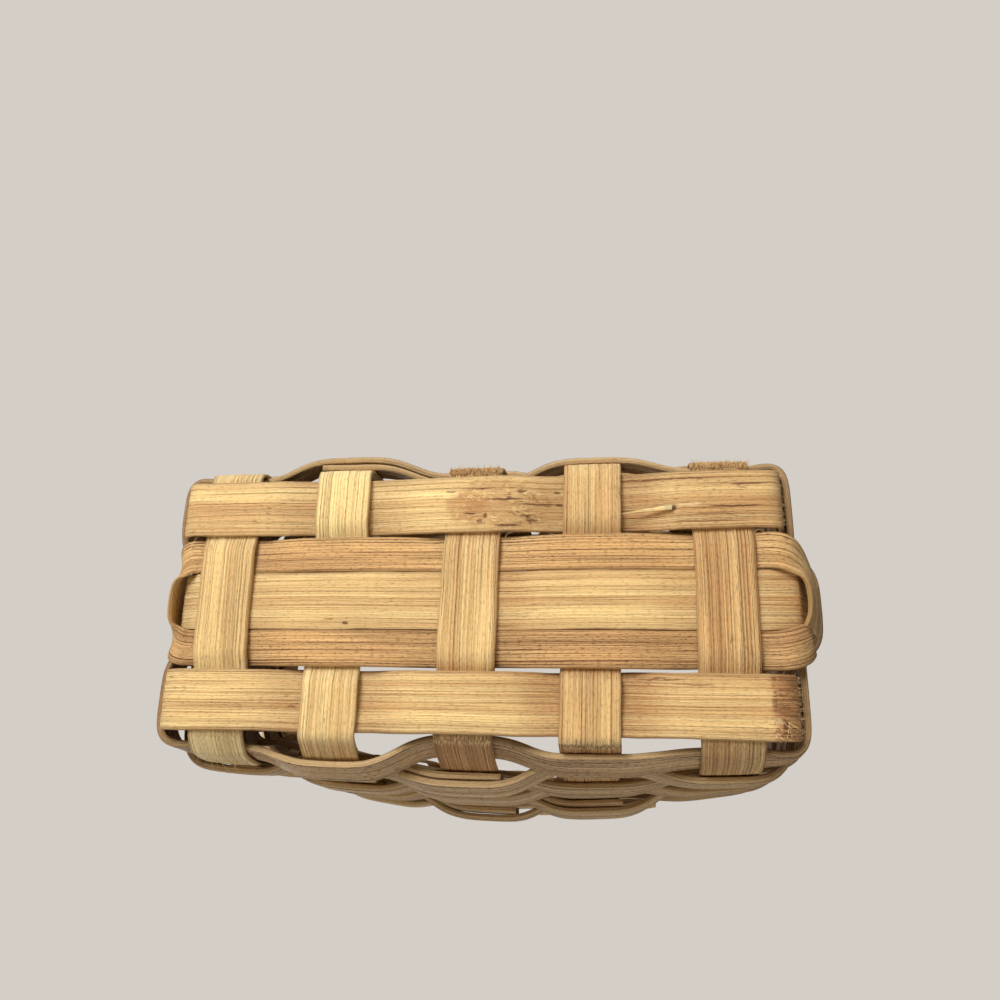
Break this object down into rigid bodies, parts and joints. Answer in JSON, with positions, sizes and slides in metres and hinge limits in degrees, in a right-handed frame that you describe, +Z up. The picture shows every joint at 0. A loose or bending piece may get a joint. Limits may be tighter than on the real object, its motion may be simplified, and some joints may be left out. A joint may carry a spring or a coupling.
{
  "type": "wall basket",
  "caption": "Flat-backed wall basket plaited from flat reed, with an oblong open base, a swelling front, a lashed rim and a hanging loop.",
  "frame": {"origin": "middle of the underside, on the lower face of the middle crosswise stake", "axes": "+Z up, +Y towards the flat back that hangs against the wall, +X towards the left end as the picture shows it"},
  "size_m": [0.2004, 0.111, 0.1458],
  "materials": {
    "stake_reed": "bare split reed, golden straw with fine long grain",
    "filler_reed": "bare split reed, darker brown tan",
    "weaver_reed": "bare split reed, greyish brown on the outer faces",
    "rim_reed": "bare half-round reed",
    "lashing_reed": "bare narrow flat reed"
  },
  "bodies": {
    "root": {"crosswise_stake_1": "stake_reed", "crosswise_stake_2": "stake_reed", "crosswise_stake_3": "stake_reed", "crosswise_stake_4": "stake_reed", "crosswise_stake_5": "stake_reed", "lengthwise_stake_back": "stake_reed", "lengthwise_stake_middle": "stake_reed", "lengthwise_stake_front": "stake_reed", "base_filler_reed": "filler_reed", "weaver_course_1": "weaver_reed", "weaver_course_2": "weaver_reed", "weaver_course_3": "weaver_reed", "weaver_course_4": "weaver_reed", "weaver_course_5": "weaver_reed", "weaver_course_6": "weaver_reed", "weaver_course_7": "weaver_reed", "weaver_course_8": "weaver_reed", "weaver_course_9": "weaver_reed", "rim_band_outer": "rim_reed", "rim_band_inner": "rim_reed", "rim_filler_front": "rim_reed", "rim_filler_back": "rim_reed", "hanging_loop": "rim_reed", "rim_lashing": "lashing_reed"}
  },
  "joints": []
}
